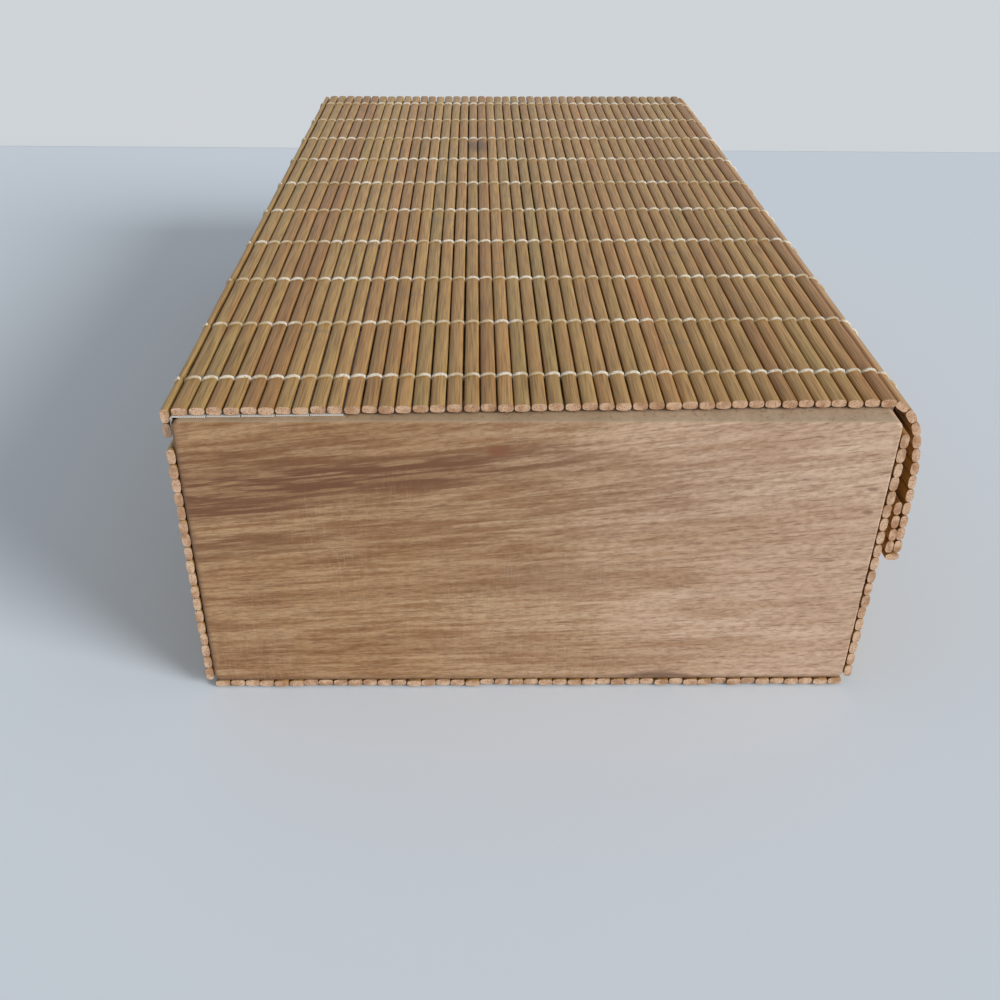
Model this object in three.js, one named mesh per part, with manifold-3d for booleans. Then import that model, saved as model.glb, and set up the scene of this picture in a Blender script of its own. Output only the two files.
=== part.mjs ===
// A bamboo stationery box: two solid wood ends housed round three thin boards, dressed in mats of
// bamboo slats. The lid is a slat mat that hinges on a cloth tape along the back top edge, rolls
// back over the top, and hangs down the front as a flap with a doubled hem.
// Millimetres, +Z up. X runs along the box, the flap faces -Y, and the mat under the box stands on Z = 0.
import * as THREE from "three";
import { mergeVertices } from "three/addons/utils/BufferGeometryUtils.js";
import Module from "manifold-3d";

const wasm = await Module();
wasm.setup();

// Box carcass
const boxLength = 250; // over both end panels
const panelWidth = 130;
const panelHeight = 60.5;
const panelThickness = 9;
const panelCornerRadius = 1.6;
const boardThickness = 4;
const housingDepth = 3; // how far each board is let into an end panel
const housingClearance = 0.1;

// Bamboo slats
const usualPitch = 3.02; // of such mats; the panel's width is shared out evenly near it
const topSlats = Math.round(panelWidth / usualPitch);
const slatPitch = panelWidth / topSlats;
const slatGap = 0.22;
const slatWidth = slatPitch - slatGap;
const slatThickness = 1.6;
const flankHeight = 0.5; // the straight side on which neighbours meet
const undersideShare = 0.66; // flat underside over width
// Half the crown, from the flank to the flat on top: shares of half the width and of the crown's height.
const crownOutline = [
  [1, 0],
  [0.94, 0.42],
  [0.76, 0.8],
  [0.42, 1],
];
const pressedTogether = 0.04; // overlap of slats bound hard against each other

// Mats
const glueLine = 0.05;
const slatsPerStrip = 2;
const frontMatDrop = 2.5; // top of the mat, below the top of the panels
const lidSlatShortfall = 2.5; // of a lid slat against the box
const lidSlatLength = boxLength - lidSlatShortfall;
const lidSetback = 1.3; // lid slat ends behind the left end panel's face, at the back edge
const lidShear = 0.09; // each lid slat lies this much further along than the one behind it

// Cloth hinge tape
const tapeThickness = 0.3;
const tapeStrips = 5; // lid strips backed by the tape
const tapeWallDrop = 6;
const tapePartGap = 0.2; // between the lengths of tape on neighbouring strips
const backEdgeSlats = 2; // lid mat slats glued down the back wall
const backEdgeRise = 1.9; // above the top of the panels
const backMatGap = 1.6; // between them and the mat on the back wall

// Flap
const flapSlats = 8;
const hemLean = 1.8; // degrees, of the hanging hem from upright
const flapBendFade = 0.62; // each bend over the one before it
const hemSlats = 4; // in each layer of the doubled hem
const hemGap = 0.1; // between the layers
const hemFoldGap = 0.15; // between the layers and the slat in the fold

const baseZ = slatThickness + glueLine; // underside of the panels and boards
const panelTop = baseZ + panelHeight;
const lidZ = panelTop + tapeThickness + glueLine + slatThickness / 2; // middle of the lid slats
const halfWidth = panelWidth / 2;

const material = (color, roughness) => new THREE.MeshStandardMaterial({ color, roughness, metalness: 0 });
const endWood = material(0xb8916c, 0.6);
const boardWood = material(0xc9ab84, 0.7);
const bamboo = material(0xb08f5e, 0.55);
const cloth = material(0xe6e0d2, 0.95);

const box = new THREE.Group();

function addMesh(name, geometry, finish) {
  const mesh = new THREE.Mesh(geometry, finish);
  mesh.name = name;
  box.add(mesh);
  return mesh;
}

// A manifold solid of a closed three.js geometry, for cutting.
function solid(geometry) {
  const bare = geometry.index ? geometry.toNonIndexed() : geometry.clone();
  bare.deleteAttribute("normal");
  bare.deleteAttribute("uv");
  const merged = mergeVertices(bare, 1e-4);
  return new wasm.Manifold(
    new wasm.Mesh({
      numProp: 3,
      vertProperties: merged.attributes.position.array,
      triVerts: new Uint32Array(merged.index.array),
    }),
  );
}

function geometryOf(cut) {
  const mesh = cut.getMesh();
  const geometry = new THREE.BufferGeometry();
  geometry.setAttribute("position", new THREE.BufferAttribute(mesh.vertProperties, 3));
  geometry.setIndex(new THREE.BufferAttribute(mesh.triVerts, 1));
  return geometry;
}

const block = (x, y, z, at) => new THREE.BoxGeometry(x, y, z).translate(...at);

// Extrudes a shape drawn in (Y, Z) along X, from x = 0 to x = length.
function alongX(shape, length) {
  const geometry = new THREE.ExtrudeGeometry(shape, { depth: length, bevelEnabled: false, curveSegments: 5 });
  const turn = new THREE.Matrix4().makeBasis(
    new THREE.Vector3(0, 1, 0),
    new THREE.Vector3(0, 0, 1),
    new THREE.Vector3(1, 0, 0),
  );
  return geometry.applyMatrix4(turn);
}

// End panels

function roundedRectangle(width, height, radius) {
  const shape = new THREE.Shape();
  const w = width / 2;
  const h = height / 2;
  shape.absarc(w - radius, h - radius, radius, 0, Math.PI / 2);
  shape.absarc(-w + radius, h - radius, radius, Math.PI / 2, Math.PI);
  shape.absarc(-w + radius, -h + radius, radius, Math.PI, 1.5 * Math.PI);
  shape.absarc(w - radius, -h + radius, radius, 1.5 * Math.PI, 2 * Math.PI);
  shape.closePath();
  return shape;
}

function endPanel(name, side) {
  const outline = roundedRectangle(panelWidth, panelHeight, panelCornerRadius);
  const plate = alongX(outline, panelThickness).translate(-panelThickness, 0, 0);
  // The rebates for the back, front and base boards are cut in the inner face, at x = 0.
  const wide = boardThickness + housingClearance;
  const deep = housingDepth + housingClearance;
  const spare = 2;
  const sideRebate = (y) =>
    solid(block(deep + spare, wide + spare, panelHeight + 2 * spare, [-deep / 2 + spare / 2, y, 0]));
  const baseRebate = solid(
    block(deep + spare, panelWidth + 2 * spare, wide + spare, [
      -deep / 2 + spare / 2,
      0,
      -panelHeight / 2 + (wide - spare) / 2,
    ]),
  );
  const edge = halfWidth - (wide - spare) / 2;
  const cut = solid(plate).subtract(sideRebate(edge)).subtract(sideRebate(-edge)).subtract(baseRebate);
  const mesh = addMesh(name, geometryOf(cut), endWood);
  const inner = boxLength / 2 - panelThickness;
  mesh.position.set(side * inner, 0, baseZ + panelHeight / 2);
  // Turned half round, the left panel's inner face looks along +X.
  mesh.rotation.z = side < 0 ? 0 : Math.PI;
  return mesh;
}

endPanel("left_end_panel", -1);
endPanel("right_end_panel", 1);

// Boards between the ends

const boardLength = boxLength - 2 * (panelThickness - housingDepth);
const wallHeight = panelHeight - boardThickness - housingClearance;

function wallBoard(name, side) {
  const y = side * (halfWidth - boardThickness / 2);
  const z = panelTop - wallHeight / 2;
  addMesh(name, block(boardLength, boardThickness, wallHeight, [0, y, z]), boardWood);
}

wallBoard("back_board", 1);
wallBoard("front_board", -1);
addMesh(
  "base_board",
  block(boardLength, panelWidth, boardThickness, [0, 0, baseZ + boardThickness / 2]),
  boardWood,
);

// Slat mats

// The outline of a run of slats bound side by side, drawn flat with the crowns up and centred on (0, 0).
function slatRun(count, width = slatWidth) {
  const shape = new THREE.Shape();
  const step = width - (count > 1 ? pressedTogether : 0);
  const half = width / 2;
  const crown = slatThickness / 2 - flankHeight / 2;
  const centre = (i) => (i - (count - 1) / 2) * step;
  const points = [];
  const rising = crownOutline.map(([across, up]) => [-across * half, flankHeight / 2 + up * crown]);
  const falling = crownOutline.map(([across, up]) => [across * half, flankHeight / 2 + up * crown]).reverse();
  for (let i = 0; i < count; i++) {
    const ownRising = i > 0 ? rising.slice(1) : rising;
    for (const [across, up] of [...ownRising, ...falling]) points.push([centre(i) + across, up]);
  }
  for (let i = count - 1; i >= 0; i--) {
    const flat = half * undersideShare;
    if (i === count - 1) points.push([centre(i) + half, -flankHeight / 2]);
    points.push([centre(i) + flat, -slatThickness / 2]);
    points.push([centre(i) - flat, -slatThickness / 2]);
    points.push([centre(i) - half, -flankHeight / 2]);
  }
  points.reverse().forEach(([y, z], i) => (i ? shape.lineTo(y, z) : shape.moveTo(y, z)));
  shape.closePath();
  return shape;
}

// Adds a run of slats as one piece: its middle at (y, z), turned by tilt radians about X, from x = start.
function addSlats(name, count, width, y, z, tilt, start, length) {
  const mesh = addMesh(name, alongX(slatRun(count, width), length), bamboo);
  mesh.position.set(start, y, z);
  mesh.rotation.x = tilt;
  return mesh;
}

// The mats glued on the carcass. Their slats are bound hard against each other.
const fixedWidth = slatPitch + pressedTogether;
const matZ = slatThickness / 2;
// A wall mat has as many whole slats as fit below the given height, and hangs from there.
const wallMatSlats = (top) => Math.floor(top / slatPitch);
const wallMatMiddle = (top) => baseZ + top - (wallMatSlats(top) * slatPitch) / 2;
const frontMatTop = panelHeight - frontMatDrop;
const backMatTop = panelHeight + backEdgeRise - backEdgeSlats * slatPitch - backMatGap;
const wallY = halfWidth + glueLine + slatThickness / 2;
const start = -boxLength / 2;
addSlats("base_mat", topSlats, fixedWidth, 0, matZ, Math.PI, start, boxLength);
addSlats(
  "front_mat",
  wallMatSlats(frontMatTop),
  fixedWidth,
  -wallY,
  wallMatMiddle(frontMatTop),
  Math.PI / 2,
  start,
  boxLength,
);
addSlats(
  "back_mat",
  wallMatSlats(backMatTop),
  fixedWidth,
  wallY,
  wallMatMiddle(backMatTop),
  -Math.PI / 2,
  start,
  boxLength,
);

// Where the slat ends of the lid mat lie along X, counted from the back top edge.
const lidStart = (index) => -boxLength / 2 + lidSetback + lidShear * index;

// The lid mat's own slats on the back wall, over the tape.
const backEdgeY = halfWidth + tapeThickness + glueLine + slatThickness / 2;
const stripSlatWidth = (count) => (count * slatPitch - slatGap + (count - 1) * pressedTogether) / count;
addSlats(
  "back_edge_strip",
  backEdgeSlats,
  stripSlatWidth(backEdgeSlats),
  backEdgeY,
  panelTop + backEdgeRise - (backEdgeSlats * slatPitch) / 2,
  -Math.PI / 2,
  lidStart(-1),
  lidSlatLength,
);
addMesh(
  "hinge_tape_wall",
  block(lidSlatLength, tapeThickness - glueLine, tapeWallDrop, [
    lidStart(-1) + lidSlatLength / 2,
    halfWidth + glueLine + (tapeThickness - glueLine) / 2,
    panelTop - tapeWallDrop / 2,
  ]),
  cloth,
);

// Lid strips, from the back edge to the front edge
const firstSlatY = halfWidth - slatPitch / 2;
const strips = Math.ceil(topSlats / slatsPerStrip);
for (let s = 0; s < strips; s++) {
  const first = s * slatsPerStrip;
  const count = Math.min(slatsPerStrip, topSlats - first);
  const y = firstSlatY - (first + (count - 1) / 2) * slatPitch;
  const number = String(s + 1).padStart(2, "0");
  addSlats("lid_strip_" + number, count, stripSlatWidth(count), y, lidZ, 0, lidStart(first), lidSlatLength);
  if (s < tapeStrips) {
    const wide = count * slatPitch - tapePartGap;
    const z = panelTop + glueLine + (tapeThickness - glueLine) / 2;
    const middle = lidStart(first) + lidSlatLength / 2;
    addMesh("hinge_tape_lid_" + (s + 1), block(lidSlatLength, wide, tapeThickness - glueLine, [middle, y, z]), cloth);
  }
}

// Flap: single slats that follow the bend over the front edge, then the doubled hem
const degrees = Math.PI / 180;
let tilt = 0;
const flapTurn = (90 - hemLean) * degrees;
// The turns from slat to slat fade in a series whose sum is the whole turn.
let bend = (flapTurn * (1 - flapBendFade)) / (1 - flapBendFade ** (flapSlats + 1));
let y = firstSlatY - (topSlats - 0.5) * slatPitch;
let z = lidZ;
for (let i = 0; i < flapSlats; i++) {
  tilt += bend;
  bend *= flapBendFade;
  const dy = -Math.cos(tilt) * slatPitch;
  const dz = -Math.sin(tilt) * slatPitch;
  addSlats("flap_slat_" + (i + 1), 1, slatWidth, y + dy / 2, z + dz / 2, tilt, lidStart(topSlats + i), lidSlatLength);
  y += dy;
  z += dz;
}
tilt += bend;
const down = [-Math.cos(tilt), -Math.sin(tilt)];
const inward = [Math.sin(tilt), -Math.cos(tilt)];
const hemLength = hemSlats * slatPitch;
const layer = slatThickness + hemGap;
const hemAt = (along, across) => [
  y + down[0] * along + inward[0] * across,
  z + down[1] * along + inward[1] * across,
];
const hemStart = lidStart(topSlats + flapSlats + 1);
addSlats("hem_outer", hemSlats, fixedWidth, ...hemAt(hemLength / 2, 0), tilt, hemStart, lidSlatLength);
addSlats("hem_return", hemSlats, fixedWidth, ...hemAt(hemLength / 2, layer), tilt + Math.PI, hemStart, lidSlatLength);
addSlats("hem_fold", 1, slatWidth, ...hemAt(hemLength + slatThickness / 2 + hemFoldGap, layer / 2), tilt + Math.PI / 2, hemStart, lidSlatLength);

export default box;
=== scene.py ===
# %% [markdown]
# The box is a low wooden carcass dressed in bamboo mats. The CAD model already has every slat in
# its place, so this script loads it first and fits each finished piece over its own solid.
# Lengths are in metres, +X runs along the slats and the flap faces -Y.

# %% Load the frame
import math
import bpy
import bmesh
from mathutils import Matrix, Vector


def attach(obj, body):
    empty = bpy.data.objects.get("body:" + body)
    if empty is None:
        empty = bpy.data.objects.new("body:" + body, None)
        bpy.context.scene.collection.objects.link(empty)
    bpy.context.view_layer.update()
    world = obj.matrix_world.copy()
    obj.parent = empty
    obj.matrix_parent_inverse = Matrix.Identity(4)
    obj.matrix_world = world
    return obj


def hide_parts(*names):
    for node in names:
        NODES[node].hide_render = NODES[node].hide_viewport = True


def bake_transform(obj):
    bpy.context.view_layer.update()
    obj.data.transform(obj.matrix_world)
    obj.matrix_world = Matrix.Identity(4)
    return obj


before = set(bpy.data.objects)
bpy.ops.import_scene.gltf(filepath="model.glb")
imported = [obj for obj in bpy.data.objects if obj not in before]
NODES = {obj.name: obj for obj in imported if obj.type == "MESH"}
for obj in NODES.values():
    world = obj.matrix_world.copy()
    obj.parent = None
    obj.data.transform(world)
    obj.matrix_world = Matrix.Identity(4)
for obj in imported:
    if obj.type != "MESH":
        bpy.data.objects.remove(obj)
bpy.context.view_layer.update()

MM = 0.001

# %% [markdown]
# The camera looks down on the end of the box. Its place and its three directions were fitted to the
# corners of the end panel and the lid, so they are written as numbers and not as an aim at a target.

# %% Camera
EYE = Vector((-0.2904, 0.0115, 0.1519))
LOOK = Vector((0.84136, -0.02334, -0.53998)).normalized()
LEVEL = Vector((-0.02772, -0.99962, 0.0)).normalized()
UPRIGHT = LEVEL.cross(LOOK).normalized()
ROLL = math.radians(0.8055)
right = LEVEL * math.cos(ROLL) + UPRIGHT * math.sin(ROLL)
up = UPRIGHT * math.cos(ROLL) - LEVEL * math.sin(ROLL)
lens = bpy.data.cameras.new("camera")
lens.sensor_width = 36
lens.lens = 38.33
lens.clip_start = 0.01
camera = bpy.data.objects.new("camera", lens)
axes = Matrix((right, up, -LOOK)).transposed().to_4x4()
camera.matrix_world = Matrix.Translation(EYE) @ axes
bpy.context.scene.collection.objects.link(camera)
bpy.context.scene.camera = camera
print("camera at", [round(v, 3) for v in EYE])

# %% [markdown]
# Node trees, for shapes and for materials alike, are lists of nodes with their inputs linked or set.
# Two short helpers keep each tree readable: one adds a node, the other picks its output.

# %% Helpers for node trees
def node(tree, kind, inputs=None, **settings):
    made = tree.nodes.new(kind)
    for key, value in settings.items():
        setattr(made, key, value)
    for key, value in (inputs or {}).items():
        if isinstance(key, int):
            socket = made.inputs[key]
        else:
            socket = [s for s in made.inputs if s.name == key and s.enabled][0]
        if isinstance(value, bpy.types.NodeSocket):
            tree.links.new(value, socket)
        else:
            socket.default_value = value
    return made


def out(made, name=None):
    return [s for s in made.outputs if s.enabled and (name is None or s.name == name)][0]


def calc(tree, operation, *values):
    inputs = dict(enumerate(values))
    return node(tree, "ShaderNodeMath", inputs, operation=operation).outputs[0]


def vector(tree, x=0.0, y=0.0, z=0.0):
    return node(tree, "ShaderNodeCombineXYZ", {"X": x, "Y": y, "Z": z}).outputs[0]


def split(tree, source):
    parts = node(tree, "ShaderNodeSeparateXYZ", {0: source})
    return parts.outputs[0], parts.outputs[1], parts.outputs[2]

# %% [markdown]
# Every surface starts as a Principled shader that reads the piece's own coordinates in metres, so
# that a fibre 0.2 mm wide is written as such. These helpers add stretched noise, a colour ramp and
# a bump to it.

# %% Helpers for materials
def new_material(name, roughness, specular=0.35):
    made = bpy.data.materials.new(name)
    made.use_nodes = True
    tree = made.node_tree
    shader = tree.nodes["Principled BSDF"]
    shader.inputs["Roughness"].default_value = roughness
    shader.inputs["Specular IOR Level"].default_value = specular
    place = node(tree, "ShaderNodeTexCoord").outputs["Object"]
    return made, tree, shader, place


def streaks(tree, place, scale, detail=3.0, turn=(0.0, 0.0, 0.0), shift=(0.0, 0.0, 0.0), distortion=0.0):
    inputs = {"Vector": place, "Scale": scale, "Rotation": turn, "Location": shift}
    stretched = node(tree, "ShaderNodeMapping", inputs)
    inputs = {"Vector": stretched.outputs[0], "Scale": 1.0, "Detail": detail, "Distortion": distortion}
    return out(node(tree, "ShaderNodeTexNoise", inputs))


def ramp(tree, value, stops):
    made = node(tree, "ShaderNodeValToRGB", {"Fac": value})
    points = made.color_ramp.elements
    while len(points) < len(stops):
        points.new(0.5)
    for point, (at, color) in zip(points, stops):
        point.position = at
        point.color = (*color, 1.0)
    return made.outputs["Color"]


def fade(tree, value, low, high, start=0.0, end=1.0):
    inputs = {"Value": value, "From Min": low, "From Max": high, "To Min": start, "To Max": end}
    return out(node(tree, "ShaderNodeMapRange", inputs, interpolation_type="SMOOTHSTEP"))


def mixed(tree, amount, a, b, blend="MIX"):
    made = node(tree, "ShaderNodeMix", data_type="RGBA", blend_type=blend)
    for socket, value in zip([made.inputs[0], made.inputs[6], made.inputs[7]], [amount, a, b]):
        if isinstance(value, bpy.types.NodeSocket):
            tree.links.new(value, socket)
        elif isinstance(value, tuple):
            socket.default_value = (*value, 1.0)
        else:
            socket.default_value = value
    return made.outputs[2]


def bump(tree, shader, height, strength, depth):
    inputs = {"Height": height, "Strength": strength, "Distance": depth}
    made = node(tree, "ShaderNodeBump", inputs)
    tree.links.new(made.outputs[0], shader.inputs["Normal"])


def spot(tree, place, centre, radii):
    moved = node(tree, "ShaderNodeVectorMath", {0: place, 1: centre}, operation="SUBTRACT").outputs[0]
    shrunk = node(tree, "ShaderNodeVectorMath", {0: moved, 1: radii}, operation="DIVIDE").outputs[0]
    return node(tree, "ShaderNodeVectorMath", {0: shrunk}, operation="LENGTH").outputs["Value"]

# %% [markdown]
# Split bamboo is straight-fibred. Its slats come from different culms, so each has its own tone, and
# a faint dark ring crosses the slats where the culm had a joint. The tone and the ring's place are
# stored on each slat by the tree that makes it, and read here by name.

# %% Bamboo
def make_bamboo():
    made, tree, shader, place = new_material("bamboo", 0.45, 0.35)
    tone = node(tree, "ShaderNodeAttribute", attribute_name="slat_tone").outputs["Fac"]
    ring = node(tree, "ShaderNodeAttribute", attribute_name="slat_ring").outputs["Fac"]
    base = ramp(
        tree,
        tone,
        [
            (0.0, (0.38, 0.195, 0.062)),
            (0.25, (0.44, 0.255, 0.086)),
            (0.5, (0.52, 0.310, 0.110)),
            (0.75, (0.42, 0.270, 0.092)),
            (1.0, (0.50, 0.270, 0.096)),
        ],
    )
    fine = streaks(tree, place, (110.0, 4600.0, 4600.0), detail=5.0)
    fibres = ramp(
        tree,
        fine,
        [(0.36, (0.50, 0.42, 0.33)), (0.5, (0.88, 0.84, 0.78)), (0.64, (1.12, 1.12, 1.08))],
    )
    base = mixed(tree, 0.85, base, fibres, "MULTIPLY")
    patches = streaks(tree, place, (34.0, 300.0, 300.0), detail=3.0)
    tints = ramp(
        tree,
        patches,
        [
            (0.32, (1.02, 0.80, 0.62)),
            (0.46, (1.05, 1.02, 0.98)),
            (0.58, (1.08, 1.08, 1.0)),
            (0.7, (0.80, 0.90, 0.68)),
        ],
    )
    base = mixed(tree, 0.55, base, tints, "MULTIPLY")
    x, _, _ = split(tree, place)
    gap = calc(tree, "ABSOLUTE", calc(tree, "SUBTRACT", x, ring))
    line = fade(tree, gap, 0.0003, 0.0011, 0.55, 0.0)
    base = mixed(tree, line, base, (0.30, 0.19, 0.10))
    ragged = calc(tree, "ADD", spot(tree, place, (0.0545, 0.0105, 0.0637), (0.0085, 0.0042, 0.004)), fine)
    stain = fade(tree, ragged, 0.9, 1.7, 0.85, 0.0)
    base = mixed(tree, stain, base, (0.17, 0.085, 0.04))
    tree.links.new(base, shader.inputs["Base Color"])
    bump(tree, shader, fine, 0.35, 0.00012)
    return made


BAMBOO = make_bamboo()

# %% [markdown]
# Sawn bamboo ends are pinker than the sides, and the fibre bundles show as dark dots. A Voronoi
# pattern with cells of about 0.25 mm gives the dots.

# %% Cut ends
def make_cut_end():
    made, tree, shader, place = new_material("cut_bamboo", 0.7, 0.2)
    cells = node(tree, "ShaderNodeTexVoronoi", {"Vector": place, "Scale": 2700.0})
    dots = fade(tree, cells.outputs["Distance"], 0.16, 0.40, 0.85, 0.0)
    cloud = streaks(tree, place, (500.0, 500.0, 500.0), detail=2.0)
    base = ramp(tree, cloud, [(0.35, (0.48, 0.27, 0.15)), (0.6, (0.74, 0.50, 0.33))])
    tree.links.new(mixed(tree, dots, base, (0.30, 0.13, 0.07)), shader.inputs["Base Color"])
    bump(tree, shader, dots, 0.3, 0.0001)
    return made


CUT_END = make_cut_end()

# %% [markdown]
# The mats are bound with cream cotton. The thread is so thin that its two twisted plies only show as
# a slight unevenness, so a fine noise gives the colour and the bump. A slower noise makes it as tan
# as the slats in places, where it is worn and has sunk into the wood.

# %% Thread
def make_thread():
    made, tree, shader, place = new_material("cotton_thread", 0.9, 0.15)
    plies = streaks(tree, place, (4200.0, 2600.0, 2600.0), detail=2.0)
    base = ramp(tree, plies, [(0.3, (0.56, 0.48, 0.35)), (0.6, (0.86, 0.80, 0.68))])
    worn = fade(tree, streaks(tree, place, (90.0, 190.0, 40.0), detail=1.0), 0.42, 0.60, 0.75, 0.0)
    base = mixed(tree, worn, base, (0.50, 0.37, 0.19))
    tree.links.new(base, shader.inputs["Base Color"])
    bump(tree, shader, plies, 0.6, 0.00015)
    return made


THREAD = make_thread()

# %% [markdown]
# The end panels are bare, open-grained wood. The grain runs across the box and rises towards the
# front, more steeply near the top, so the height is sheared before the streaks are read. One
# cluster of dark heartwood streaks lies at the upper back, and the base colour is painted paler
# towards the front, as painted light on the side the light comes from. Pores, saw marks, one small
# knot and a stained lower edge go over that, with a painted shade line along the back edge, where the
# panel meets the back mat, and a painted greyish highlight along the top edge.

# %% End panel wood
def make_end_wood():
    made, tree, shader, place = new_material("end_wood", 0.58, 0.3)
    x, y, z = split(tree, place)
    steepness = calc(tree, "ADD", 0.02, calc(tree, "MULTIPLY", z, 1.9))
    level = calc(tree, "ADD", z, calc(tree, "MULTIPLY", y, steepness))
    grain = vector(tree, x, y, level)
    broad = streaks(tree, grain, (30.0, 14.0, 150.0), detail=3.0, distortion=0.5)
    streak = streaks(tree, grain, (60.0, 75.0, 1150.0), detail=6.0)
    mottle = streaks(tree, grain, (900.0, 700.0, 2400.0), detail=3.0)
    strand = streaks(tree, grain, (60.0, 60.0, 2600.0), detail=3.0, shift=(3.0, 5.0, 2.0))
    # Painted light: the base colour is paler towards the front (-Y), the side the light falls on.
    across = fade(tree, y, -0.060, 0.034)
    base = mixed(tree, across, (0.73, 0.52, 0.375), (0.51, 0.315, 0.165))
    warm = ramp(tree, broad, [(0.35, (0.70, 0.60, 0.50)), (0.6, (1.0, 1.0, 1.0))])
    base = mixed(tree, 0.6, base, warm, "MULTIPLY")
    fine = ramp(tree, streak, [(0.38, (0.66, 0.54, 0.43)), (0.56, (1.0, 1.0, 1.0))])
    base = mixed(tree, calc(tree, "ADD", 0.4, calc(tree, "MULTIPLY", across, 0.45)), base, fine, "MULTIPLY")
    thin = ramp(tree, strand, [(0.34, (0.74, 0.66, 0.58)), (0.55, (1.0, 1.0, 1.0))])
    base = mixed(tree, 0.45, base, thin, "MULTIPLY")
    grainy = ramp(
        tree,
        mottle,
        [(0.36, (0.74, 0.68, 0.62)), (0.52, (1.0, 1.0, 1.0)), (0.66, (1.14, 1.14, 1.14))],
    )
    base = mixed(tree, 0.7, base, grainy, "MULTIPLY")
    hearts = [
        ((0.046, 0.0545), (0.042, 0.0050), 1.0),
        ((0.060, 0.0490), (0.026, 0.0028), 0.9),
        ((0.010, 0.0540), (0.026, 0.0050), 0.6),
        ((0.060, 0.0405), (0.022, 0.0036), 0.6),
        ((0.052, 0.0610), (0.026, 0.0040), 0.5),
        ((0.000, 0.0440), (0.060, 0.0100), 0.25),
    ]
    for (at_y, at_z), (long, high), strength in hearts:
        reach = spot(tree, grain, (-0.125, at_y, at_z), (0.5, long, high))
        inside = fade(tree, reach, 0.45, 1.2, strength, 0.0)
        both = calc(tree, "ADD", streak, calc(tree, "MULTIPLY", strand, 0.25))
        lines = fade(tree, both, 0.56, 0.74, 1.0, 0.30)
        base = mixed(tree, calc(tree, "MULTIPLY", inside, lines), base, (0.19, 0.080, 0.038))
    pores = streaks(tree, grain, (900.0, 260.0, 5600.0), detail=1.0)
    pore = fade(tree, pores, 0.62, 0.70)
    base = mixed(tree, calc(tree, "MULTIPLY", pore, 0.55), base, (0.20, 0.10, 0.055))
    smudge = fade(tree, spot(tree, place, (-0.125, -0.003, 0.028), (0.5, 0.016, 0.006)), 0.1, 1.2, 0.35, 0.0)
    base = mixed(tree, smudge, base, (0.36, 0.21, 0.13))
    knot = spot(tree, place, (-0.125, 0.0072, 0.0562), (0.02, 0.0022, 0.0012))
    ragged = calc(tree, "ADD", knot, calc(tree, "MULTIPLY", streak, 0.5))
    base = mixed(tree, fade(tree, ragged, 0.8, 1.7, 0.9, 0.0), base, (0.26, 0.105, 0.05))
    for mark in ((-0.125, -0.0621, 0.048), (-0.125, -0.0621, 0.043)):
        fleck = fade(tree, spot(tree, place, mark, (0.02, 0.0011, 0.0004)), 0.5, 1.4, 0.6, 0.0)
        base = mixed(tree, fleck, base, (0.16, 0.08, 0.045))
    hump = fade(tree, calc(tree, "ABSOLUTE", calc(tree, "ADD", y, 0.026)), 0.0, 0.010, 0.0012, 0.0)
    height = calc(tree, "SUBTRACT", calc(tree, "SUBTRACT", z, 0.00165), hump)
    uneven = calc(tree, "ADD", height, calc(tree, "MULTIPLY", broad, 0.001))
    stain = fade(tree, uneven, 0.0006, 0.0019, 0.8, 0.0)
    base = mixed(tree, stain, base, (0.17, 0.085, 0.05))
    # Painted shade: a dark line along the back edge, where the panel meets the back mat.
    edge = fade(tree, y, 0.0637, 0.0648, 0.0, 0.7)
    base = mixed(tree, edge, base, (0.20, 0.11, 0.07))
    # Painted highlight: a greyish sheen along the top edge of the panel.
    top = fade(tree, z, 0.0618, 0.0621, 0.0, 0.6)
    base = mixed(tree, top, base, (0.46, 0.36, 0.24))
    saw = streaks(tree, place, (60.0, 2600.0, 330.0), detail=2.0)
    patchy = streaks(tree, place, (20.0, 30.0, 40.0), detail=2.0)
    scratches = fade(tree, saw, 0.5, 0.75, 0.0, 0.08)
    scratches = calc(tree, "MULTIPLY", fade(tree, patchy, 0.4, 0.65), scratches)
    base = mixed(tree, scratches, base, (0.92, 0.78, 0.62))
    tree.links.new(base, shader.inputs["Base Color"])
    relief = calc(tree, "ADD", calc(tree, "MULTIPLY", saw, 0.35), streak)
    relief = calc(tree, "SUBTRACT", relief, pore)
    bump(tree, shader, relief, 0.35, 0.00016)
    return made


END_WOOD = make_end_wood()

# %% [markdown]
# The boards between the ends are only seen with the lid rolled back. They are a plainer, paler wood
# with the grain along the box.

# %% Board wood
def make_board_wood():
    made, tree, shader, place = new_material("board_wood", 0.65, 0.25)
    grain = streaks(tree, place, (9.0, 300.0, 300.0), detail=5.0, distortion=0.4)
    base = ramp(
        tree,
        grain,
        [(0.3, (0.52, 0.38, 0.24)), (0.55, (0.64, 0.49, 0.33)), (0.8, (0.70, 0.56, 0.40))],
    )
    tree.links.new(base, shader.inputs["Base Color"])
    bump(tree, shader, grain, 0.25, 0.0002)
    return made


BOARD_WOOD = make_board_wood()

# %% [markdown]
# The lid is joined to the box by thin white cotton tape. Two crossed waves make its plain weave.

# %% Tape cloth
def make_tape_cloth():
    made, tree, shader, place = new_material("tape_cloth", 0.95, 0.1)
    inputs = {"Vector": place, "Scale": 900.0}
    along = node(tree, "ShaderNodeTexWave", inputs, bands_direction="X").outputs["Fac"]
    across = node(tree, "ShaderNodeTexWave", inputs, bands_direction="Y").outputs["Fac"]
    weave = calc(tree, "MULTIPLY", along, across)
    base = ramp(tree, weave, [(0.0, (0.62, 0.60, 0.55)), (0.6, (0.80, 0.79, 0.75))])
    tree.links.new(base, shader.inputs["Base Color"])
    bump(tree, shader, weave, 0.4, 0.0001)
    return made


TAPE_CLOTH = make_tape_cloth()

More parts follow.
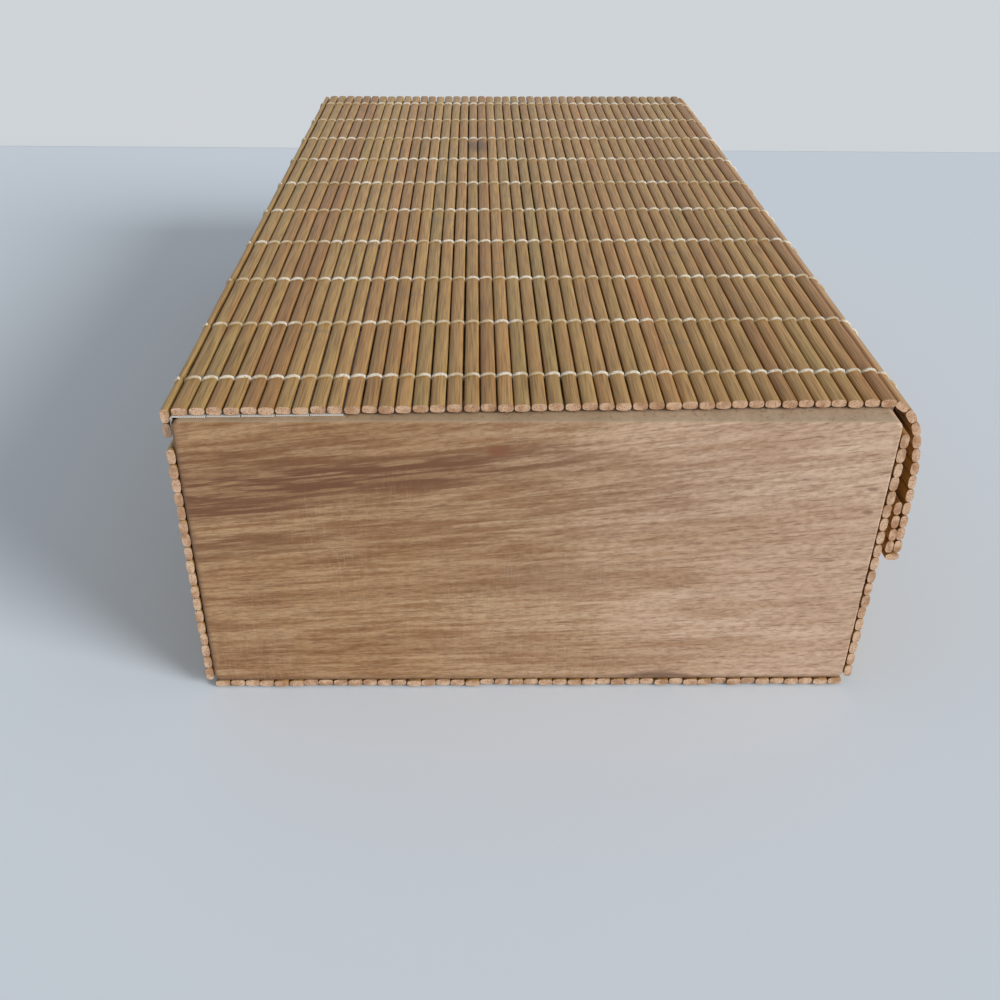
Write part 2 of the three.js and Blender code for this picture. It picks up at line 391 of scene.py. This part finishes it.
# %% [markdown]
# A mat is one rule repeated: a slat, the next slat one pitch on, and a pair of threads that cross
# them all. Geometry Nodes fit that well. One tree makes a run of any number of slats, flat and with
# the crowns up, and the same tree then serves the lid, the flap, the hem and the glued mats.
# A slat begins as a cylinder whose round section is squared off with two powers.

# %% The slat row tree
def add_input(tree, name, kind, default=None):
    socket = tree.interface.new_socket(name=name, in_out="INPUT", socket_type=kind)
    if default is not None:
        socket.default_value = default
    return socket


def signed_power(tree, value, exponent):
    size = calc(tree, "POWER", calc(tree, "ABSOLUTE", value), exponent)
    return calc(tree, "MULTIPLY", size, calc(tree, "SIGN", value))


def slat_shape(tree, given):
    segments = 26
    tube = node(
        tree,
        "GeometryNodeMeshCylinder",
        {"Vertices": 14, "Side Segments": segments, "Radius": 1.0, "Depth": given["Length"]},
        fill_type="NGON",
    ).outputs["Mesh"]
    x, y, z = split(tree, node(tree, "GeometryNodeInputPosition").outputs[0])
    half_width = calc(tree, "MULTIPLY", given["Width"], 0.5)
    half_thickness = calc(tree, "MULTIPLY", given["Thickness"], 0.5)
    wide = calc(tree, "MULTIPLY", signed_power(tree, x, 0.7), half_width)
    thick = calc(tree, "MULTIPLY", signed_power(tree, y, 0.62), half_thickness)
    long = calc(tree, "ADD", z, calc(tree, "MULTIPLY", given["Length"], 0.5))
    squared = vector(tree, long, wide, thick)
    return node(tree, "GeometryNodeSetPosition", {"Geometry": tube, "Position": squared}).outputs[0]


def random_value(tree, given, low, high, salt):
    seed = calc(tree, "ADD", given["Seed"], float(salt))
    made = node(tree, "FunctionNodeRandomValue", {"Min": low, "Max": high, "Seed": seed}, data_type="FLOAT")
    return out(made)


def slats(tree, given):
    middle = calc(tree, "MULTIPLY", calc(tree, "SUBTRACT", given["Slats"], 1.0), -0.5)
    first = vector(tree, calc(tree, "MULTIPLY", middle, calc(tree, "MULTIPLY", given["Shear"], -1.0)),
                   calc(tree, "MULTIPLY", middle, given["Pitch"]))
    step = vector(tree, calc(tree, "MULTIPLY", given["Shear"], -1.0), given["Pitch"])
    line = node(
        tree,
        "GeometryNodeMeshLine",
        {"Count": given["Slats"], "Start Location": first, "Offset": step},
        mode="OFFSET",
    ).outputs["Mesh"]
    slip_along = random_value(tree, given, -0.00022, 0.00022, 1)
    slip_across = random_value(tree, given, -0.00004, 0.00004, 2)
    slip = vector(tree, slip_along, slip_across)
    line = node(tree, "GeometryNodeSetPosition", {"Geometry": line, "Offset": slip}).outputs[0]
    size = vector(tree, 1.0, random_value(tree, given, 0.95, 1.0, 3), random_value(tree, given, 0.9, 1.0, 4))
    copies = node(
        tree,
        "GeometryNodeInstanceOnPoints",
        {"Points": line, "Instance": slat_shape(tree, given), "Scale": size},
    ).outputs[0]
    tone = random_value(tree, given, 0.0, 1.0, 5)
    copies = node(
        tree,
        "GeometryNodeStoreNamedAttribute",
        {"Geometry": copies, "Name": "slat_tone", "Value": tone},
        data_type="FLOAT",
        domain="INSTANCE",
    ).outputs[0]
    jitter = random_value(tree, given, -0.0006, 0.0006, 6)
    copies = node(
        tree,
        "GeometryNodeStoreNamedAttribute",
        {"Geometry": copies, "Name": "slat_ring", "Value": calc(tree, "ADD", given["Ring"], jitter)},
        data_type="FLOAT",
        domain="INSTANCE",
    ).outputs[0]
    return node(tree, "GeometryNodeRealizeInstances", {"Geometry": copies}).outputs[0]

# %% [markdown]
# No split slat is quite straight. A slow noise along each one bends it by a few hundredths of a
# millimetre, and the noise is read in a different place for each slat's own tone.

# %% Wavy slats
def wavy(tree, geometry, given):
    tone = node(tree, "GeometryNodeInputNamedAttribute", {"Name": "slat_tone"}, data_type="FLOAT").outputs[0]
    x, _, _ = split(tree, node(tree, "GeometryNodeInputPosition").outputs[0])
    where = vector(tree, calc(tree, "MULTIPLY", x, 38.0), calc(tree, "MULTIPLY", tone, 91.0), given["Seed"])
    noise = node(tree, "ShaderNodeTexNoise", {"Vector": where, "Scale": 1.0, "Detail": 1.0}).outputs["Color"]
    _, sideways, lift = split(tree, noise)
    sideways = calc(tree, "MULTIPLY", calc(tree, "SUBTRACT", sideways, 0.5), 0.0002)
    lift = calc(tree, "MULTIPLY", calc(tree, "SUBTRACT", lift, 0.5), 0.00022)
    offset = vector(tree, 0.0, sideways, lift)
    return node(tree, "GeometryNodeSetPosition", {"Geometry": geometry, "Offset": offset}).outputs[0]

# %% [markdown]
# A binding thread rises over each crown and dips to the middle of each gap, where its partner from
# below passes it. Both ends of a run stop in the middle of a gap, on the hinge line, so the threads
# of two neighbouring runs stay together when the mat bends.

# %% Threads
def thread_rows(tree, given, side):
    half = calc(tree, "MULTIPLY", calc(tree, "MULTIPLY", given["Slats"], given["Pitch"]), 0.5)
    line = node(
        tree,
        "GeometryNodeCurvePrimitiveLine",
        {"Start": vector(tree, 0.0, calc(tree, "MULTIPLY", half, -1.0)), "End": vector(tree, 0.0, half)},
    ).outputs[0]
    count = calc(tree, "ADD", calc(tree, "MULTIPLY", given["Slats"], 8.0), 1.0)
    line = node(tree, "GeometryNodeResampleCurve", {"Curve": line, "Count": count}).outputs[0]
    _, y, _ = split(tree, node(tree, "GeometryNodeInputPosition").outputs[0])
    turn = calc(tree, "MULTIPLY", calc(tree, "DIVIDE", calc(tree, "ADD", y, half), given["Pitch"]), math.pi)
    swell = calc(tree, "POWER", calc(tree, "ABSOLUTE", calc(tree, "SINE", turn)), 0.45)
    top = calc(tree, "MULTIPLY", calc(tree, "ADD", given["Thickness"], given["Thread"]), 0.5)
    height = calc(tree, "MULTIPLY", calc(tree, "MULTIPLY", swell, top), side)
    slope = calc(tree, "MULTIPLY", calc(tree, "DIVIDE", given["Shear"], given["Pitch"]), -1.0)
    twist = calc(tree, "MULTIPLY", calc(tree, "SINE", calc(tree, "MULTIPLY", turn, 2.0)), 0.00012 * side)
    place = vector(tree, calc(tree, "ADD", calc(tree, "MULTIPLY", y, slope), twist), y, height)
    line = node(tree, "GeometryNodeSetPosition", {"Geometry": line, "Position": place}).outputs[0]
    section = {"Resolution": 6, "Radius": given["Thread"]}
    ring = node(tree, "GeometryNodeCurvePrimitiveCircle", section).outputs[0]
    tube = node(
        tree,
        "GeometryNodeCurveToMesh",
        {"Curve": line, "Profile Curve": ring, "Fill Caps": True},
    ).outputs[0]
    rows = node(
        tree,
        "GeometryNodeMeshLine",
        {"Count": given["Rows"], "Start Location": vector(tree, given["First Row"]),
         "Offset": vector(tree, given["Row Spacing"])},
        mode="OFFSET",
    ).outputs["Mesh"]
    copies = node(tree, "GeometryNodeInstanceOnPoints", {"Points": rows, "Instance": tube}).outputs[0]
    solid = node(tree, "GeometryNodeRealizeInstances", {"Geometry": copies}).outputs[0]
    return node(tree, "GeometryNodeSetMaterial", {"Geometry": solid, "Material": THREAD}).outputs[0]


def slat_row_tree():
    tree = bpy.data.node_groups.new("slat_row", "GeometryNodeTree")
    tree.interface.new_socket(name="Geometry", in_out="INPUT", socket_type="NodeSocketGeometry")
    tree.interface.new_socket(name="Geometry", in_out="OUTPUT", socket_type="NodeSocketGeometry")
    for name in ("Slats", "Rows", "Seed"):
        add_input(tree, name, "NodeSocketInt", 1)
    slat_sizes = ("Pitch", "Width", "Thickness", "Length", "Shear", "Ring")
    thread_sizes = ("Thread", "First Row", "Row Spacing")
    for name in slat_sizes + thread_sizes:
        add_input(tree, name, "NodeSocketFloat", 0.0)
    add_input(tree, "Under Threads", "NodeSocketBool", True)
    given = node(tree, "NodeGroupInput").outputs
    wood = wavy(tree, slats(tree, given), given)
    wood = node(tree, "GeometryNodeSetMaterial", {"Geometry": wood, "Material": BAMBOO}).outputs[0]
    facing, _, _ = split(tree, node(tree, "GeometryNodeInputNormal").outputs[0])
    along = calc(tree, "ABSOLUTE", facing)
    is_end = node(tree, "FunctionNodeCompare", {0: along, 1: 0.8}, operation="GREATER_THAN")
    wood = node(
        tree,
        "GeometryNodeSetMaterial",
        {"Geometry": wood, "Selection": out(is_end), "Material": CUT_END},
    ).outputs[0]
    over = thread_rows(tree, given, 1.0)
    under = thread_rows(tree, given, -1.0)
    under = node(
        tree,
        "GeometryNodeSwitch",
        {"Switch": given["Under Threads"], "True": under},
        input_type="GEOMETRY",
    ).outputs[0]
    both = node(tree, "GeometryNodeJoinGeometry")
    for part in (wood, over, under):
        tree.links.new(part, both.inputs[0])
    last = node(tree, "NodeGroupOutput")
    tree.links.new(both.outputs[0], last.inputs[0])
    return tree


SLAT_ROW = slat_row_tree()
print("slat row tree:", len(SLAT_ROW.nodes), "nodes")

# %% [markdown]
# The tree's result is evaluated once for each run, made a plain mesh, and moved inside its own mesh
# to where the CAD solid is. The object itself stays at the origin, as a CAD node's does.

# %% Making a run of slats
PITCH = 130 * MM / 43
SLAT_WIDTH = 2.84 * MM
GLUED_WIDTH = 3.0 * MM
SLAT_THICKNESS = 1.6 * MM
THREAD_RADIUS = 0.33 * MM
ROW_SPACING = 24.8 * MM
FIRST_ROW = 12 * MM


def slat_run(name, nodes, body, count, at, tilt, start, length, seed, shear=0.0, under=True, ring=9.0,
             width=SLAT_WIDTH):
    mesh = bpy.data.meshes.new(name + "_start")
    holder = bpy.data.objects.new(name + "_start", mesh)
    bpy.context.scene.collection.objects.link(holder)
    modifier = holder.modifiers.new("slats", "NODES")
    modifier.node_group = SLAT_ROW
    values = {
        "Slats": count,
        "Rows": 10,
        "Seed": seed,
        "Pitch": PITCH,
        "Width": width,
        "Thickness": SLAT_THICKNESS,
        "Length": length,
        "Shear": shear,
        "Ring": ring,
        "Thread": THREAD_RADIUS,
        "First Row": FIRST_ROW,
        "Row Spacing": ROW_SPACING,
        "Under Threads": under,
    }
    for socket in SLAT_ROW.interface.items_tree:
        if socket.item_type == "SOCKET" and socket.in_out == "INPUT" and socket.name in values:
            modifier[socket.identifier] = values[socket.name]
    graph = bpy.context.evaluated_depsgraph_get()
    shaped = bpy.data.meshes.new_from_object(holder.evaluated_get(graph))
    bpy.data.objects.remove(holder)
    shaped.name = name
    shaped.transform(Matrix.Translation((start, at[0], at[1])) @ Matrix.Rotation(tilt, 4, "X"))
    shaped.shade_smooth()
    round_off(shaped)
    piece = bpy.data.objects.new(name, shaped)
    bpy.context.scene.collection.objects.link(piece)
    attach(piece, body)
    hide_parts(*nodes)
    return piece


def round_off(mesh):
    for face in mesh.polygons:
        if len(face.vertices) > 4:
            face.use_smooth = False

# %% [markdown]
# The lid mat lies a little askew on the box, so each slat is shifted slightly from the one before
# it, and the thread rows slope with them. These values are those of the CAD model.

# %% Where the lid mat lies
PANEL_BOTTOM = 1.65 * MM
PANEL_TOP = PANEL_BOTTOM + 60.5 * MM
HALF_WIDTH = 65 * MM
LID_LEVEL = PANEL_TOP + 0.35 * MM + SLAT_THICKNESS / 2
LID_LENGTH = 247.5 * MM
LID_SHEAR = 0.09 * MM
TOP_SLATS = 43
FIRST_SLAT = HALF_WIDTH - PITCH / 2


def lid_start(index):
    return -0.125 + 1.3 * MM + LID_SHEAR * index


def ring_of(index):
    return -0.11 + 0.22 * ((index * 7 // 4) * 0.618 % 1.0)

# %% [markdown]
# The top is one mat, but it has to bend between the slats, so it is made as strips of two slats that
# ride on the links of the lid. Each strip has its own seed, so no two strips look alike.

# %% Lid strips
for strip in range(22):
    first = strip * 2
    count = min(2, TOP_SLATS - first)
    middle = first + (count - 1) / 2
    number = "%02d" % (strip + 1)
    slat_run(
        "lid_slats_" + number,
        ["lid_strip_" + number],
        "lid_link_" + number,
        count,
        (FIRST_SLAT - middle * PITCH, LID_LEVEL),
        0.0,
        lid_start(middle),
        LID_LENGTH,
        20 + strip,
        shear=LID_SHEAR,
        ring=ring_of(strip),
    )
print("lid strips: 22")

# %% [markdown]
# Over the front edge the mat bends slat by slat, steeply at first and then less and less, and the
# doubled hem hangs at its end. The loop walks down that path with the CAD model's own rule.

# %% Flap and hem
tilt = 0.0
bend = math.radians(88.2) * (1 - 0.62) / (1 - 0.62**9)
path_y = FIRST_SLAT - (TOP_SLATS - 0.5) * PITCH
path_z = LID_LEVEL
for index in range(8):
    tilt += bend
    bend *= 0.62
    step_y = -math.cos(tilt) * PITCH
    step_z = -math.sin(tilt) * PITCH
    slat_run(
        "flap_bend_%d" % (index + 1),
        ["flap_slat_%d" % (index + 1)],
        "flap_link_%d" % (index + 1),
        1,
        (path_y + step_y / 2, path_z + step_z / 2),
        tilt,
        lid_start(TOP_SLATS + index),
        LID_LENGTH,
        60 + index,
        shear=LID_SHEAR,
        ring=ring_of(30 + index // 3),
    )
    path_y += step_y
    path_z += step_z
tilt += bend
HEM_LENGTH = 4 * PITCH
LAYER = SLAT_THICKNESS + 0.1 * MM


def hem_point(along, across):
    return (
        path_y - math.cos(tilt) * along + math.sin(tilt) * across,
        path_z - math.sin(tilt) * along - math.cos(tilt) * across,
    )


HEM_START = lid_start(TOP_SLATS + 9)
slat_run("hem_front", ["hem_outer"], "hem", 4, hem_point(HEM_LENGTH / 2, 0), tilt, HEM_START, LID_LENGTH, 81,
         shear=LID_SHEAR, ring=ring_of(41))
slat_run("hem_back", ["hem_return"], "hem", 4, hem_point(HEM_LENGTH / 2, LAYER), tilt + math.pi, HEM_START,
         LID_LENGTH, 82, shear=LID_SHEAR, ring=ring_of(42))
slat_run("hem_edge", ["hem_fold"], "hem", 1, hem_point(HEM_LENGTH + 0.95 * MM, LAYER / 2), tilt + math.pi / 2,
         HEM_START, LID_LENGTH, 83, shear=LID_SHEAR)
print("hem ends at", round(path_z / MM, 1), "mm")

# %% [markdown]
# The other mats are glued down and never bend, so each is one piece, with threads only on its outer
# side. The two slats that begin the lid mat sit on the back wall, over the tape.

# %% Glued mats
GLUE = 0.05 * MM
WALL_Y = HALF_WIDTH + GLUE + SLAT_THICKNESS / 2
slat_run("mat_under", ["base_mat"], "box", 43, (0.0, SLAT_THICKNESS / 2), math.pi, -0.125, 0.25, 101,
         under=False, width=GLUED_WIDTH)
FRONT_MAT_TOP = PANEL_TOP - 2.5 * MM
BACK_EDGE_TOP = PANEL_TOP + 1.9 * MM
BACK_MAT_TOP = BACK_EDGE_TOP - 2 * PITCH - 1.6 * MM
slat_run("mat_front", ["front_mat"], "box", 19, (-WALL_Y, FRONT_MAT_TOP - 9.5 * PITCH), math.pi / 2,
         -0.125, 0.25, 102, under=False, width=GLUED_WIDTH)
slat_run("mat_back", ["back_mat"], "box", 18, (WALL_Y, BACK_MAT_TOP - 9 * PITCH), -math.pi / 2,
         -0.125, 0.25, 103, under=False, width=GLUED_WIDTH)
slat_run("mat_back_edge", ["back_edge_strip"], "box", 2, (HALF_WIDTH + 0.35 * MM + SLAT_THICKNESS / 2,
         BACK_EDGE_TOP - PITCH), -math.pi / 2, lid_start(-1), LID_LENGTH, 104, shear=LID_SHEAR, under=False)

# %% [markdown]
# The end panels keep the CAD shape, with their edges eased. A CAD mesh is loose triangles, so a copy
# is merged first, and then a narrow bevel can find its edges.

# %% End panels
def eased_copy(name, source, width):
    work = bmesh.new()
    work.from_mesh(NODES[source].data)
    bmesh.ops.remove_doubles(work, verts=work.verts, dist=1e-6)
    bmesh.ops.dissolve_limit(work, angle_limit=math.radians(1), verts=work.verts, edges=work.edges)
    mesh = bpy.data.meshes.new(name)
    work.to_mesh(mesh)
    work.free()
    piece = bpy.data.objects.new(name, mesh)
    bpy.context.scene.collection.objects.link(piece)
    edge = piece.modifiers.new("eased edges", "BEVEL")
    edge.width = width
    edge.segments = 2
    edge.limit_method = "ANGLE"
    edge.angle_limit = math.radians(50)
    return piece


for side in ("left", "right"):
    source = side + "_end_panel"
    panel = eased_copy(side + "_panel", source, 0.45 * MM)
    panel.data.materials.append(END_WOOD)
    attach(panel, "box")
    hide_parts(source)
print("end panels: 2")

# %% [markdown]
# The boards and the flat stretches of tape keep their CAD solids, because their real shape is plain.
# They only take a finish of their own.

# %% Boards and tape
for name, made in NODES.items():
    finish = BOARD_WOOD if name.endswith("_board") else TAPE_CLOTH if "tape" in name else None
    if finish:
        made.data.materials.clear()
        made.data.materials.append(finish)

# %% [markdown]
# At the back corner the tape is one cloth that bends with the lid. A thin strip that blends between
# the wall and the first lid strip covers the line where the solids are parted.

# %% Tape at the bend
def tape_bend():
    points = [(65.12, 60.6), (65.20, 61.8), (65.22, 62.2), (65.05, 62.36), (64.7, 62.38), (63.8, 62.37)]
    mesh = bpy.data.meshes.new("tape_bend")
    verts = [(x, y * MM, z * MM) for x in (lid_start(-1), lid_start(-1) + LID_LENGTH) for y, z in points]
    count = len(points)
    faces = [(i, i + 1, count + i + 1, count + i) for i in range(count - 1)]
    mesh.from_pydata(verts, [], faces)
    mesh.materials.append(TAPE_CLOTH)
    mesh.shade_smooth()
    piece = bpy.data.objects.new("tape_bend", mesh)
    bpy.context.scene.collection.objects.link(piece)
    cloth = piece.modifiers.new("cloth", "SOLIDIFY")
    cloth.thickness = 0.08 * MM
    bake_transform(piece)
    return piece


tape_bend()

# %% [markdown]
# The box stands on a pale, cool floor in soft daylight from the right. Farther off the floor is a
# little paler, as the photographer's sheet is. One sun with a wide angle gives the soft shadow on the
# left, and rays that miss the floor see a pale sky that adds no light to the box.

# %% Floor and light
def stage_plane(name, size, at, color):
    bpy.ops.mesh.primitive_plane_add(size=size, location=at)
    plane = bpy.context.object
    plane.name = name
    made, tree, shader, place = new_material(name, 0.9, 0.0)
    shader.inputs["Base Color"].default_value = (*color, 1.0)
    plane.data.materials.append(made)
    return plane


FLOOR_SIZE = 8.0
FAR_EDGE = 0.300
stage_plane("floor", FLOOR_SIZE, (0, 0, -0.0004), (0.78, 0.85, 0.92))
stage_plane("far_floor", FLOOR_SIZE, (FAR_EDGE + FLOOR_SIZE / 2, 0, -0.0003), (0.92, 0.95, 0.97))

sun = bpy.data.lights.new("daylight", "SUN")
sun.energy = 2.5
sun.angle = math.radians(28)
lamp = bpy.data.objects.new("daylight", sun)
lamp.rotation_euler = Vector((-0.50, -0.82, 0.40)).to_track_quat("Z", "Y").to_euler()
bpy.context.scene.collection.objects.link(lamp)

world = bpy.data.worlds.new("soft_room")
world.use_nodes = True
sky = world.node_tree
background = sky.nodes["Background"]
background.inputs["Color"].default_value = (0.93, 0.96, 1.0, 1.0)
ray = node(sky, "ShaderNodeLightPath").outputs
seen = calc(sky, "MAXIMUM", ray["Is Camera Ray"], ray["Is Glossy Ray"])
seen = calc(sky, "MAXIMUM", seen, ray["Is Transmission Ray"])
strength = calc(sky, "ADD", calc(sky, "MULTIPLY", seen, 0.35), 0.40)
sky.links.new(strength, background.inputs["Strength"])
bpy.context.scene.world = world
bpy.context.scene.view_settings.view_transform = "Standard"
